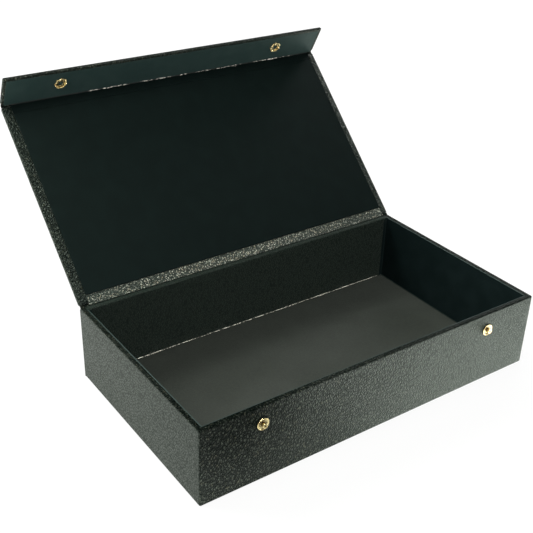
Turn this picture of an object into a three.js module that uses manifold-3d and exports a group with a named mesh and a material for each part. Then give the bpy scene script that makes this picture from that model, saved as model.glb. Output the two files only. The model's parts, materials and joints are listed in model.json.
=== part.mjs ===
// Card deck box: a leatherette-covered board tray with a hinged lid and a front flap that snaps
// onto the tray with two brass press studs.
// Units are millimetres. +Z is up, -Y is the front, and the origin is the centre of the tray's underside.
// The box is drawn open: the lid leans back and the flap is folded in.

import * as THREE from 'three';
import { mergeVertices } from 'three/addons/utils/BufferGeometryUtils.js';
import Module from 'manifold-3d';

const wasm = await Module();
wasm.setup();

// ---- Driving dimensions ----

const boxLength = 340;        // along X
const boxWidth = 191;         // along Y, front face to back face
const boxHeight = 69;         // underside to rim
const skin = 0.8;             // leatherette and lining thickness on the tray
const glue = 0.1;             // adhesive line between two layers
const wallBoard = 3.2;        // greyboard of the four walls
const baseBoard = 1.5;        // greyboard of the bottom
const tapeSpace = 0.3;        // room for the paper corner tapes under the leatherette
const tape = 0.2;             // paper corner tape
const tapeLeg = 13;           // tape width on each wall
const tapeEndGap = 3;         // tape end short of the boards, top and bottom
const turnUnder = 13;         // leatherette turned under the bottom
const liningDrop = 0.4;       // lining edge below the rim

const padGapX = 1.5;          // floor pad clearance at each end
const padGapY = 1;            // floor pad clearance at front and back
const padBoard = 0.6;
const padSkin = 0.4;

const panel = 3;              // lid and flap thickness over all layers
const panelSkin = 0.6;        // leatherette and liner thickness on the lid and flap
const closedGap = 0.3;        // lid's inner face above the rim when shut
const flapStandOff = 2.7;     // flap's inner face in front of the tray when shut
const flapDepth = 31.5;       // fold to flap edge
const hingeJoint = 2.5;       // unboarded leatherette beside the lid hinge
const foldJoint = 1.6;        // unboarded leatherette on each side of the fold
const hingeBand = 9.2;        // grained strip glued to the lid beside the hinge
const foldBand = 8.7;         // smooth strip glued to the lid beside the fold
const linerInsetLeft = 8.7;   // grained border left of the lid liner
const linerInsetRight = 6.5;  // grained border right of the lid liner
const linerRise = 0.2;        // lid liner stands this far proud of its border
const linerThickness = 0.8;
const flapBorder = 2.6;       // grained border around the flap liner

const lidOpenAngle = THREE.MathUtils.degToRad(136.5);    // shut is 0
const flapFoldAngle = THREE.MathUtils.degToRad(75);      // flat with the lid is 0

const studInset = 53.8;       // stud axis to the nearer end of the box
const snapDepth = 16.3;       // snap axis to the fold
const studRadius = 5.25;      // rolled base of the stud
const studHeight = 3.6;       // stud post above the tray's front face
const neckRadius = 1.75;      // stud post where the ring spring grips it
const headRadius = 2.3;       // stud post above the neck
const collarRadius = 2.6;     // stud collar through the leatherette
const shankRadius = 0.9;      // rivet that holds the stud
const rivetHeadRadius = 4.8;
const rivetHeadHeight = 0.5;
const socketRadius = 5.75;    // rolled ring of the socket
const cupRadius = 2.9;        // inside of the socket
const cupWall = 0.55;
const capRadius = 6.25;       // outside cap of the socket
const capPostRadius = 1.15;
const roundSteps = 24;        // facets around each metal part

// ---- Derived places ----

const halfLength = boxLength / 2;
const halfWidth = boxWidth / 2;
const boardTop = boxHeight - skin - glue;
const boardBottom = skin + glue;
const boardOuterX = halfLength - skin - tapeSpace;
const boardOuterY = halfWidth - skin - tapeSpace;
const boardInnerX = boardOuterX - wallBoard;
const boardInnerY = boardOuterY - wallBoard;
const cavityX = boardInnerX - glue - skin;
const cavityY = boardInnerY - glue - skin;
const floorLevel = boardBottom + baseBoard + glue;
const buttGap = 0.05;         // between boards or sheets that meet edge to edge
const overshoot = 1;          // a cutter runs this far past the face it opens

const hingeY = halfWidth - skin;
const hingeZ = boxHeight + closedGap;
const lidDepth = hingeY + halfWidth + flapStandOff;      // hinge axis to fold
const boardInset = panelSkin + glue;                     // panel board inside its leatherette
const studX = halfLength - studInset;
const studZ = hingeZ - snapDepth;

// ---- Geometry helpers ----

function block(x0, x1, y0, y1, z0, z1) {
  const geometry = new THREE.BoxGeometry(x1 - x0, y1 - y0, z1 - z0);
  return geometry.translate((x0 + x1) / 2, (y0 + y1) / 2, (z0 + z1) / 2);
}

// A block in panel coordinates: u is the distance from the panel's hinge, n the height above its inner face.
function layer(x0, x1, u0, u1, n0, n1) {
  return block(x0, x1, -u1, -u0, n0, n1);
}

// The stretch from near to far, on the side of the origin that side (-1 or 1) names.
function stretch(side, near, far) {
  return side < 0 ? [-far, -near] : [near, far];
}

function outline(points) {
  return new THREE.Shape(points.map(([a, b]) => new THREE.Vector2(a, b)));
}

// A solid with a constant (y, z) outline that runs along X.
function alongX(points, x0, x1) {
  const geometry = new THREE.ExtrudeGeometry(outline(points), { depth: x1 - x0, bevelEnabled: false });
  geometry.rotateX(Math.PI / 2);
  geometry.rotateZ(Math.PI / 2);
  return geometry.translate(x0, 0, 0);
}

// A turned solid. The profile lists (radius, height) going up its outside, with the axis along +Y.
function turned(profile) {
  return new THREE.LatheGeometry(profile.map(([r, h]) => new THREE.Vector2(r, h)), roundSteps);
}

// A round cutter along Y, from y0 to y1.
function pinY(radius, x, y0, y1, z) {
  const geometry = new THREE.CylinderGeometry(radius, radius, y1 - y0, roundSteps);
  return geometry.translate(x, (y0 + y1) / 2, z);
}

// A round cutter through a panel, from height n0 to n1.
function pinThroughPanel(radius, x, u, n0, n1) {
  const geometry = new THREE.CylinderGeometry(radius, radius, n1 - n0, roundSteps);
  return geometry.rotateX(Math.PI / 2).translate(x, -u, (n0 + n1) / 2);
}

function toSolid(geometry) {
  const plain = geometry.clone();
  plain.deleteAttribute('normal');
  plain.deleteAttribute('uv');
  const merged = mergeVertices(plain);
  return new wasm.Manifold(new wasm.Mesh({
    numProp: 3,
    vertProperties: new Float32Array(merged.attributes.position.array),
    triVerts: new Uint32Array(merged.index.array),
  }));
}

function fromSolid(solid) {
  const mesh = solid.getMesh();
  const geometry = new THREE.BufferGeometry();
  geometry.setAttribute('position', new THREE.BufferAttribute(mesh.vertProperties, 3));
  geometry.setIndex(new THREE.BufferAttribute(mesh.triVerts, 1));
  geometry.computeVertexNormals();
  return geometry;
}

function cut(geometry, cutters) {
  return fromSolid(cutters.reduce((solid, cutter) => solid.subtract(toSolid(cutter)), toSolid(geometry)));
}

function join(geometries) {
  const [first, ...rest] = geometries.map(toSolid);
  return fromSolid(rest.reduce((solid, next) => solid.add(next), first));
}

// ---- Materials ----

const grained = { color: 0x18211f, roughness: 0.5, metalness: 0 };
const smoothLining = { color: 0x161d1e, roughness: 0.75, metalness: 0 };
const floorCloth = { color: 0x32362f, roughness: 0.9, metalness: 0 };
const greyboard = { color: 0x8b8578, roughness: 0.95, metalness: 0 };
const paper = { color: 0xb9b09a, roughness: 0.95, metalness: 0 };
const brass = { color: 0xd9a441, roughness: 0.25, metalness: 1 };

function part(name, geometry, finish) {
  const mesh = new THREE.Mesh(geometry, new THREE.MeshStandardMaterial(finish));
  mesh.name = name;
  return mesh;
}

// ---- Tray boards and corner tapes ----

const box = new THREE.Group();
const snapSides = [['left', -studX], ['right', studX]];

function frontBoard() {
  const shankHole = shankRadius + 0.5;
  const recessRadius = rivetHeadRadius + 0.3;
  const recessStart = -boardInnerY - rivetHeadHeight - glue;
  const wall = block(-boardOuterX, boardOuterX, -boardOuterY, -boardInnerY, boardBottom, boardTop);
  const holes = snapSides.flatMap(([, x]) => [
    pinY(shankHole, x, -halfWidth, -cavityY, studZ),
    pinY(recessRadius, x, recessStart, -cavityY, studZ),
  ]);
  return cut(wall, holes);
}

function endBoard(side) {
  const y = boardInnerY - buttGap;
  const [x0, x1] = stretch(side, boardInnerX, boardOuterX);
  return block(x0, x1, -y, y, boardBottom, boardTop);
}

// A paper strip folded around one upright corner. The strip is drawn for the back right corner.
function cornerTape(sideX, sideY, quarterTurns) {
  const low = boardBottom + tapeEndGap;
  const high = boardTop - tapeEndGap;
  const corner = outline([
    [0, 0], [-tapeLeg, 0], [-tapeLeg, -tape], [-tape, -tape], [-tape, -tapeLeg], [0, -tapeLeg],
  ]);
  const geometry = new THREE.ExtrudeGeometry(corner, { depth: high - low, bevelEnabled: false });
  geometry.rotateZ(quarterTurns * Math.PI / 2);
  const outerX = halfLength - skin - buttGap;
  const outerY = halfWidth - skin - buttGap;
  return geometry.translate(sideX * outerX, sideY * outerY, low);
}

function addBoards() {
  const baseX = boardInnerX - buttGap;
  const baseY = boardInnerY - buttGap;
  const base = block(-baseX, baseX, -baseY, baseY, boardBottom, boardBottom + baseBoard);
  const back = block(-boardOuterX, boardOuterX, boardInnerY, boardOuterY, boardBottom, boardTop);
  box.add(part('base_board', base, greyboard));
  box.add(part('front_board', frontBoard(), greyboard));
  box.add(part('back_board', back, greyboard));
  box.add(part('left_board', endBoard(-1), greyboard));
  box.add(part('right_board', endBoard(1), greyboard));
}

function addCornerTapes() {
  const corners = [
    ['back_right', 1, 1], ['back_left', -1, 1], ['front_left', -1, -1], ['front_right', 1, -1],
  ];
  corners.forEach(([name, sideX, sideY], quarterTurns) => {
    box.add(part(`corner_tape_${name}`, cornerTape(sideX, sideY, quarterTurns), paper));
  });
}

// ---- Tray leatherette ----

const rimWidth = skin + tapeSpace + wallBoard + glue;
const rimDrop = 1.3;                 // top of the back leatherette below the rim
const wrapBack = hingeY - glue;
const backTop = boxHeight - rimDrop;

// One U-shaped sheet around the front and both ends, turned over the rim and under the bottom.
function sideWrap() {
  const beyond = halfWidth + overshoot;
  const whole = block(-halfLength, halfLength, -halfWidth, wrapBack, 0, boxHeight);
  const boards = block(-halfLength + skin, halfLength - skin, -halfWidth + skin, beyond,
    skin, boxHeight - skin);
  const mouth = block(-halfLength + rimWidth, halfLength - rimWidth, -halfWidth + rimWidth, beyond,
    boardTop - overshoot, boxHeight + overshoot);
  const underside = block(-halfLength + turnUnder, halfLength - turnUnder, -halfWidth + turnUnder, beyond,
    -overshoot, skin + overshoot);
  const studHoles = snapSides.map(([, x]) => (
    pinY(collarRadius + glue, x, -halfWidth - overshoot, -boardOuterY, studZ)
  ));
  return cut(whole, [boards, mouth, underside, ...studHoles]);
}

// The leatherette on the back wall, with its bottom edge turned under.
function backCover() {
  const turnedX = halfLength - turnUnder - glue;
  const insideWall = halfWidth - skin / 2;
  const wall = block(-halfLength, halfLength, hingeY, halfWidth, 0, backTop);
  const turnedEdge = block(-turnedX, turnedX, halfWidth - turnUnder, insideWall, 0, skin);
  return join([wall, turnedEdge]);
}

function baseCover() {
  const x = halfLength - turnUnder - glue;
  const y = halfWidth - turnUnder - glue;
  return block(-x, x, -y, y, 0, skin);
}

// The grained sheet on the inside of the back wall, folded over the back rim up to the hinge.
function backLining() {
  const x = halfLength - rimWidth - buttGap;
  const outer = boardInnerY - glue;
  const profile = [
    [cavityY, floorLevel], [outer, floorLevel], [outer, boxHeight - skin],
    [hingeY - glue, boxHeight - skin], [hingeY - glue, boxHeight], [cavityY, boxHeight],
  ];
  return alongX(profile, -x, x);
}

function endLining(side) {
  const y = cavityY - buttGap;
  const [x0, x1] = stretch(side, cavityX, cavityX + skin);
  return block(x0, x1, -y, y, floorLevel, boxHeight - liningDrop);
}

function frontLining() {
  const x = cavityX + skin;
  return block(-x, x, -cavityY - skin, -cavityY, floorLevel, boxHeight - liningDrop);
}

function addCoverings() {
  box.add(part('side_wrap', sideWrap(), grained));
  box.add(part('back_cover', backCover(), grained));
  box.add(part('base_cover', baseCover(), grained));
  box.add(part('front_lining', frontLining(), smoothLining));
  box.add(part('left_lining', endLining(-1), smoothLining));
  box.add(part('right_lining', endLining(1), smoothLining));
  box.add(part('back_lining', backLining(), grained));
}

// ---- Floor pad ----

function addFloorPad() {
  const x = cavityX - padGapX;
  const y = cavityY - padGapY;
  const insideX = x - padSkin;
  const insideY = y - padSkin;
  const boardTopLevel = floorLevel + padBoard;
  const clothUnderside = boardTopLevel + glue;
  const board = block(-insideX + glue, insideX - glue, -insideY + glue, insideY - glue,
    floorLevel, boardTopLevel);
  const whole = block(-x, x, -y, y, floorLevel, clothUnderside + padSkin);
  const hollow = block(-insideX, insideX, -insideY, insideY, floorLevel - overshoot, clothUnderside);
  box.add(part('floor_pad_board', board, greyboard));
  box.add(part('floor_pad_cloth', cut(whole, [hollow]), floorCloth));
}

// ---- Press studs on the front wall ----

// Profiles list (radius, height), with the height above the tray's front face.

// Stud: a rolled base ring with a necked post, and a blind hole from behind for the rivet.
function stud() {
  const holeRadius = shankRadius + glue;
  const holeTop = 2.2;
  const beadSide = 0.5;
  const beadTop = 0.85;
  const crestRadius = studRadius - 0.5;
  const crestInner = studRadius - 1.2;
  const dishRadius = 3.3;
  const dishHeight = 0.4;
  const neckTop = studHeight - 0.95;
  const headBottom = studHeight - 0.75;
  const headTop = studHeight - 0.3;
  const tipRadius = 1.6;
  return turned([
    [holeRadius, holeTop], [holeRadius, -skin], [collarRadius, -skin], [collarRadius, 0],
    [studRadius, 0], [studRadius, beadSide], [crestRadius, beadTop], [crestInner, beadTop],
    [dishRadius, dishHeight], [neckRadius, dishHeight], [neckRadius, neckTop], [headRadius, headBottom],
    [headRadius, headTop], [tipRadius, studHeight], [0, studHeight], [0, holeTop], [holeRadius, holeTop],
  ]);
}

// Rivet: a flat head let into the back of the front board, and a shank that holds the stud on.
function studRivet() {
  const shankTop = 2.1;
  const headBack = boardInnerY - halfWidth + buttGap;
  const headFront = headBack + rivetHeadHeight;
  return turned([
    [0, headBack], [rivetHeadRadius, headBack], [rivetHeadRadius, headFront],
    [shankRadius, headFront], [shankRadius, shankTop], [0, shankTop],
  ]);
}

function addStuds() {
  for (const [side, x] of snapSides) {
    for (const [name, geometry] of [['stud', stud()], ['stud_rivet', studRivet()]]) {
      const mesh = part(`${name}_${side}`, geometry, brass);
      mesh.position.set(x, -halfWidth, studZ);
      mesh.rotation.x = Math.PI;
      box.add(mesh);
    }
  }
}

// ---- Lid ----

const lid = new THREE.Group();
const borderGap = 0.2;        // between a turned-in border and the liner it frames
const lidCoverEnd = lidDepth - foldJoint;

// Leatherette over the outside of the lid, down its edges and turned in along both ends.
function lidCover() {
  const whole = layer(-halfLength, halfLength, hingeJoint, lidCoverEnd, 0, panel);
  const board = layer(-halfLength + panelSkin, halfLength - panelSkin, hingeJoint + panelSkin,
    lidCoverEnd - panelSkin, panelSkin, panel - panelSkin);
  const opening = layer(-halfLength + linerInsetLeft - borderGap, halfLength - linerInsetRight + borderGap,
    -overshoot, lidDepth + overshoot, -overshoot, boardInset);
  return cut(whole, [board, opening]);
}

function addLid() {
  const bandX0 = -halfLength + linerInsetLeft;
  const bandX1 = halfLength - linerInsetRight;
  const board = layer(-halfLength + boardInset, halfLength - boardInset, hingeJoint + boardInset,
    lidCoverEnd - boardInset, boardInset, panel - boardInset);
  const liner = layer(bandX0, bandX1, hingeBand + borderGap, lidDepth - foldBand - borderGap,
    -linerRise, linerThickness - linerRise);
  const hingeSide = layer(bandX0, bandX1, closedGap, hingeBand, 0, panelSkin);
  const foldSide = layer(bandX0, bandX1, lidDepth - foldBand, lidDepth - glue, 0, panelSkin);
  lid.add(part('lid_board', board, greyboard));
  lid.add(part('lid_cover', lidCover(), grained));
  lid.add(part('lid_liner', liner, smoothLining));
  lid.add(part('lid_hinge_band', hingeSide, grained));
  lid.add(part('lid_fold_band', foldSide, smoothLining));
}

// ---- Flap ----

const flap = new THREE.Group();

function snapHoles(radius) {
  return snapSides.map(([, x]) => pinThroughPanel(radius, x, snapDepth, -overshoot, panel + overshoot));
}

// Leatherette over the outside of the flap, down its three free edges and turned in.
function flapCover() {
  const postHole = capPostRadius + 0.4;
  const whole = layer(-halfLength, halfLength, foldJoint, flapDepth, 0, panel);
  const board = layer(-halfLength + panelSkin, halfLength - panelSkin, foldJoint + panelSkin,
    flapDepth - panelSkin, panelSkin, panel - panelSkin);
  const opening = layer(-halfLength + flapBorder, halfLength - flapBorder, -overshoot, flapDepth - flapBorder,
    -overshoot, boardInset);
  return cut(whole, [board, opening, ...snapHoles(postHole)]);
}

function addFlapPanels() {
  const cupHole = cupRadius + cupWall + 0.15;
  const linerX = halfLength - flapBorder - borderGap;
  const board = layer(-halfLength + boardInset, halfLength - boardInset, foldJoint + boardInset,
    flapDepth - boardInset, boardInset, panel - boardInset);
  const liner = layer(-linerX, linerX, glue, flapDepth - flapBorder - borderGap, 0, panelSkin);
  flap.add(part('flap_board', cut(board, snapHoles(cupHole)), greyboard));
  flap.add(part('flap_cover', flapCover(), grained));
  flap.add(part('flap_liner', cut(liner, snapHoles(cupHole)), smoothLining));
}

// ---- Press-stud sockets on the flap ----
// Profiles list (radius, height), with the height above the flap's inner face. The open side is below 0.

// Socket: a rolled ring on the liner, a cup in the board, and a floor hole for the cap's post.
function socket() {
  const postHole = capPostRadius + glue;
  const cupOuter = cupRadius + cupWall;
  const cupFloor = 1.55;
  const cupBack = 1.95;
  const seat = -buttGap;
  const ringSide = -0.4;
  const ringShoulder = -0.8;
  const ringTop = -1.15;
  const lipHeight = -0.3;
  const lipRadius = cupRadius + 0.1;
  const ringInner = cupOuter + 0.2;
  const ringCrest = socketRadius - 0.9;
  const ringEdge = socketRadius - 0.3;
  return turned([
    [postHole, cupFloor], [cupRadius, cupFloor], [cupRadius, lipHeight], [lipRadius, ringShoulder],
    [ringInner, ringTop], [ringCrest, ringTop], [ringEdge, ringShoulder], [socketRadius, ringSide],
    [socketRadius, seat], [cupOuter, seat], [cupOuter, cupBack], [postHole, cupBack], [postHole, cupFloor],
  ]);
}

// Ring spring: round wire that grips the stud's neck inside the socket.
function ringSpring() {
  const wireRadius = 0.25;
  const wireSteps = 8;
  const middleRadius = neckRadius + wireRadius + 0.5;
  return new THREE.TorusGeometry(middleRadius, wireRadius, wireSteps, roundSteps);
}

// Cap: a shallow dome on the outside of the flap, with a post clenched inside the socket.
function socketCap() {
  const clenchRadius = 2;
  const clenchBottom = 1.2;
  const clenchTop = 1.48;
  const face = panel + buttGap;
  const rimHeight = face + 0.4;
  const shoulderRadius = capRadius * 0.84;
  const shoulderHeight = face + 0.95;
  const crownRadius = capRadius * 0.52;
  const crownHeight = face + 1.25;
  const top = face + 1.35;
  return turned([
    [0, clenchBottom], [clenchRadius, clenchBottom], [clenchRadius, clenchTop], [capPostRadius, clenchTop],
    [capPostRadius, face], [capRadius, face], [capRadius, rimHeight], [shoulderRadius, shoulderHeight],
    [crownRadius, crownHeight], [0, top],
  ]);
}

function addSockets() {
  const springHeight = -0.35;
  for (const [side, x] of snapSides) {
    for (const [name, geometry] of [['socket', socket()], ['socket_cap', socketCap()]]) {
      const mesh = part(`${name}_${side}`, geometry, brass);
      mesh.position.set(x, -snapDepth, 0);
      mesh.rotation.x = Math.PI / 2;
      flap.add(mesh);
    }
    const spring = part(`socket_spring_${side}`, ringSpring(), brass);
    spring.position.set(x, -snapDepth, springHeight);
    flap.add(spring);
  }
}

// ---- Bending leatherette strips ----

const stripEndGap = 0.5;
const stripX = halfLength - stripEndGap;
const stripInner = boardInset;
const stripOuter = stripInner + panelSkin;

// Hinge strip: from the top of the back wall, around the hinge axis, to the lid's edge.
function hingeStrip() {
  const along = [-Math.cos(lidOpenAngle), Math.sin(lidOpenAngle)];
  const out = [Math.sin(lidOpenAngle), Math.cos(lidOpenAngle)];
  const onLid = (u, n) => [hingeY + u * along[0] + n * out[0], hingeZ + u * along[1] + n * out[1]];
  // Where the line at height n above the lid's inner face meets the plane y.
  const crossing = (n, y) => onLid((y - hingeY - n * out[0]) / along[0], n);
  const foot = backTop + glue;
  const lidEnd = hingeJoint - glue;
  const innerY = halfWidth - panelSkin;
  return alongX([
    [halfWidth, foot], crossing(stripOuter, halfWidth), onLid(lidEnd, stripOuter), onLid(lidEnd, stripInner),
    crossing(stripInner, innerY), [innerY, foot],
  ], -stripX, stripX);
}

// Fold strip, in lid coordinates: from the lid's edge, around the fold, to the flap's edge.
function foldStrip() {
  const arcSteps = 6;
  const reach = foldJoint - glue;
  const atTurn = (turn, n, back) => [
    -lidDepth - n * Math.sin(turn) + back * Math.cos(turn),
    n * Math.cos(turn) + back * Math.sin(turn),
  ];
  const turns = Array.from({ length: arcSteps + 1 }, (_, i) => flapFoldAngle * i / arcSteps);
  const arc = (n) => turns.map((turn) => atTurn(turn, n, 0));
  return alongX([
    atTurn(0, stripOuter, reach), ...arc(stripOuter), atTurn(flapFoldAngle, stripOuter, -reach),
    atTurn(flapFoldAngle, stripInner, -reach), ...arc(stripInner).reverse(), atTurn(0, stripInner, reach),
  ], -stripX, stripX);
}

// ---- Assembly ----

addBoards();
addCornerTapes();
addCoverings();
addFloorPad();
addStuds();
box.add(part('hinge_strip', hingeStrip(), grained));

addLid();
lid.add(part('fold_strip', foldStrip(), grained));
lid.position.set(0, hingeY, hingeZ);
lid.rotation.x = -lidOpenAngle;

addFlapPanels();
addSockets();
flap.position.set(0, -lidDepth, 0);
flap.rotation.x = flapFoldAngle;
lid.add(flap);
box.add(lid);

export default box;
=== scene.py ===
import json
import math
from functools import partial

import bmesh
import bpy
from mathutils import Matrix, Vector, noise


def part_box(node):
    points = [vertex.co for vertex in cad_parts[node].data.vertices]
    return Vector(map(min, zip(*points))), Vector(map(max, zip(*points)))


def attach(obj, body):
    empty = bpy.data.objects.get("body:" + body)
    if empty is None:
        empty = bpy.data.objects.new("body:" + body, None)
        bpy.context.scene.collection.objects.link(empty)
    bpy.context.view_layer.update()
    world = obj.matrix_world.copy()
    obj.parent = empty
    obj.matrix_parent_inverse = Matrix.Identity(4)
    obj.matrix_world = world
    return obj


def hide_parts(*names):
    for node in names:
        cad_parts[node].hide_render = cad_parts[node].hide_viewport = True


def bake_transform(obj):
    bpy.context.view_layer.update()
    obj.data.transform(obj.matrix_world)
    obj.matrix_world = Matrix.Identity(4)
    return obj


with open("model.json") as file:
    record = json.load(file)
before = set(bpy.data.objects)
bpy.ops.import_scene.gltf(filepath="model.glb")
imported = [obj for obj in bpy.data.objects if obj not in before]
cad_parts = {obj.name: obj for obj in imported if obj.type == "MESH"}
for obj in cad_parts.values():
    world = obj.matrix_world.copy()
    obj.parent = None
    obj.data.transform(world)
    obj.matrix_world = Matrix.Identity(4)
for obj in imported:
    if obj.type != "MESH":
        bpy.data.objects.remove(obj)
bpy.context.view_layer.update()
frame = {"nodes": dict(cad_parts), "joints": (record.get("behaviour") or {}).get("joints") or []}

# Card deck box, in metres, in the frame's own axes: +Z up, -Y the front.

MM = 0.001
GLUE = 0.1 * MM
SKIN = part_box("base_cover")[1].z          # leatherette and lining thickness on the tray
PANEL_SKIN = 0.6 * MM                     # leatherette and lining thickness on the lid and flap
CELL = 6 * MM                             # mesh spacing on large faces
WOBBLE = 0.07 * MM                        # hand-made unevenness of a large face
WOBBLE_SPAN = 45 * MM                     # distance between its hollows

# ---- Places from the frame ----

joints = {joint["name"]: joint for joint in frame["joints"]}


class Panel:
    """The lid or the flap: x along the box, u away from its hinge, n out of its inner face."""

    def __init__(self, joint, turn):
        self.pivot = Vector(joints[joint]["pos_m"])
        self.along = Vector((0, -math.cos(turn), math.sin(turn)))
        self.out = Vector((0, math.sin(turn), math.cos(turn)))

    def place(self, point):
        x, u, n = point
        return self.pivot + Vector((x, 0, 0)) + self.along * u + self.out * n

    def extent(self, node):
        """Lowest and highest (x, u, n) of a CAD node."""
        local = []
        for vertex in frame["nodes"][node].data.vertices:
            offset = vertex.co - self.pivot
            local.append((vertex.co.x, offset.dot(self.along), offset.dot(self.out)))
        return Vector(map(min, *local)), Vector(map(max, *local))


lid_turn = math.radians(-joints["lid_hinge"]["range_deg"][0])
fold_turn = math.radians(-joints["flap_hinge"]["range_deg"][0])
lid = Panel("lid_hinge", lid_turn)
flap = Panel("flap_hinge", lid_turn - fold_turn)
fold_u = (flap.pivot - lid.pivot).dot(lid.along)    # from the lid's hinge to the fold, along the lid


def in_tray(point):
    return Vector(point)


# ---- Material tools ----


def add_node(tree, kind, inputs=None, **settings):
    made = tree.nodes.new(kind)
    for key, value in settings.items():
        setattr(made, key, value)
    for key, value in (inputs or {}).items():
        if isinstance(value, bpy.types.NodeSocket):
            tree.links.new(value, made.inputs[key])
        else:
            made.inputs[key].default_value = value
    return made


# How far a face's normal has to turn before it counts as part of an end wall, or as looking up.
END_FACING = (0.6, 0.95)
TOP_FACING = (0.5, 0.9)


class Finish:
    """A node material: short calls for the nodes that every material here uses."""

    def __init__(self, name):
        self.material = bpy.data.materials.new(name)
        self.material.use_nodes = True
        self.tree = self.material.node_tree
        self.tree.nodes.clear()
        self.place = add_node(self.tree, "ShaderNodeTexCoord").outputs["Object"]

    def math(self, operation, a, b=0.0, c=0.0):
        made = add_node(self.tree, "ShaderNodeMath", {0: a, 1: b, 2: c}, operation=operation)
        return made.outputs[0]

    def product(self, first, *others):
        for other in others:
            first = self.math("MULTIPLY", first, other)
        return first

    def stretched(self, turn, scale):
        inputs = {"Vector": self.place, "Rotation": turn, "Scale": scale}
        return add_node(self.tree, "ShaderNodeMapping", inputs).outputs["Vector"]

    def warped(self, vector, span, amount):
        inputs = {"Vector": vector, "Scale": 1 / span, "Detail": 2.0}
        push = add_node(self.tree, "ShaderNodeTexNoise", inputs).outputs["Color"]
        inputs = {0: push, 1: (0.5, 0.5, 0.5)}
        centred = add_node(self.tree, "ShaderNodeVectorMath", inputs, operation="SUBTRACT").outputs[0]
        inputs = {0: centred, 1: (amount, amount, amount), 2: vector}
        return add_node(self.tree, "ShaderNodeVectorMath", inputs, operation="MULTIPLY_ADD").outputs[0]

    def noise(self, span, detail=3.0, vector=None, roughness=0.55):
        inputs = {"Vector": vector or self.place, "Scale": 1 / span, "Detail": detail, "Roughness": roughness}
        return add_node(self.tree, "ShaderNodeTexNoise", inputs).outputs["Fac"]

    def cells(self, span, feature, vector=None):
        inputs = {"Vector": vector or self.place, "Scale": 1 / span}
        return add_node(self.tree, "ShaderNodeTexVoronoi", inputs, feature=feature).outputs["Distance"]

    def ramp(self, value, low, high, out_low=0.0, out_high=1.0):
        inputs = {"Value": value, "From Min": low, "From Max": high, "To Min": out_low, "To Max": out_high}
        made = add_node(self.tree, "ShaderNodeMapRange", inputs, interpolation_type="SMOOTHSTEP")
        return made.outputs["Result"]

    def mix(self, share, first, second):
        made = add_node(self.tree, "ShaderNodeMix", data_type="RGBA")
        for index, value in ((0, share), (6, first), (7, second)):
            if isinstance(value, bpy.types.NodeSocket):
                self.tree.links.new(value, made.inputs[index])
            else:
                made.inputs[index].default_value = value
        return made.outputs[2]

    def edge(self):
        return add_node(self.tree, "ShaderNodeAttribute", attribute_name="edge").outputs["Fac"]

    def along(self, axis):
        return add_node(self.tree, "ShaderNodeSeparateXYZ", {0: self.place}).outputs[axis]

    def facing(self, axis):
        normal = add_node(self.tree, "ShaderNodeTexCoord").outputs["Normal"]
        return add_node(self.tree, "ShaderNodeSeparateXYZ", {0: normal}).outputs[axis]

    def sideways(self):
        """1 on the end walls and 0 on the front, back, top and base."""
        return self.math("ABSOLUTE", self.facing("X"))

    def by_end(self, elsewhere, on_end):
        return self.ramp(self.sideways(), *END_FACING, elsewhere, on_end)

    def by_top(self, elsewhere, on_top):
        return self.ramp(self.facing("Z"), *TOP_FACING, elsewhere, on_top)

    def distance(self, point):
        inputs = {0: self.place, 1: point}
        return add_node(self.tree, "ShaderNodeVectorMath", inputs, operation="DISTANCE").outputs["Value"]

    def openness(self, reach):
        """1 on an open face, falling to 0 in a narrow hollow."""
        return add_node(self.tree, "ShaderNodeAmbientOcclusion", {"Distance": reach}).outputs["AO"]

    def bump(self, height, distance, strength=1.0, under=None):
        inputs = {"Height": height, "Distance": distance, "Strength": strength}
        if under is not None:
            inputs["Normal"] = under
        return add_node(self.tree, "ShaderNodeBump", inputs).outputs["Normal"]

    def done(self, **inputs):
        named = {key.replace("_", " "): value for key, value in inputs.items()}
        shader = add_node(self.tree, "ShaderNodeBsdfPrincipled", named)
        output = add_node(self.tree, "ShaderNodeOutputMaterial")
        self.tree.links.new(shader.outputs[0], output.inputs[0])
        return self.material


# ---- Materials ----

# The tray's leatherette changes along its front, which stands in for the way the picture's light falls on
# it: x of the left and right ends of the change, and a dull place near the front's upper left corner, with
# how near and how far from there the dullness starts and stops fading.
LEFT_X = -0.14
RIGHT_X = 0.14
DULL_CORNER = (-0.14, -0.0955, 0.07)
DULL_REACH = (0.01, 0.085)


def pebble_pattern(finish, pebble):
    """Creases between rounded cells (0 in a crease, 1 on a top) and the distance from each cell's middle."""
    diagonal = finish.stretched((0.3, math.radians(35), 0.2), (1.15, 1.15, 0.75))
    skewed = finish.warped(diagonal, pebble * 1.5, pebble * 0.6)
    creases = finish.ramp(finish.cells(pebble, "DISTANCE_TO_EDGE", skewed), 0.0, 0.3)
    return creases, finish.cells(pebble, "SMOOTH_F1", skewed)


def grain_depth(finish, fades):
    """How deep the grain is: uneven in patches, and on a skin that fades flatter to the right and on ends."""
    depth = finish.ramp(finish.noise(38 * MM, 2.0), 0.3, 0.7, 0.75, 1.15)
    if fades:
        along_front = finish.ramp(finish.along("X"), LEFT_X, RIGHT_X, 1.7, 0.6)
        depth = finish.product(depth, finish.product(finish.by_end(1, 0.045), along_front))
    return depth


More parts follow.
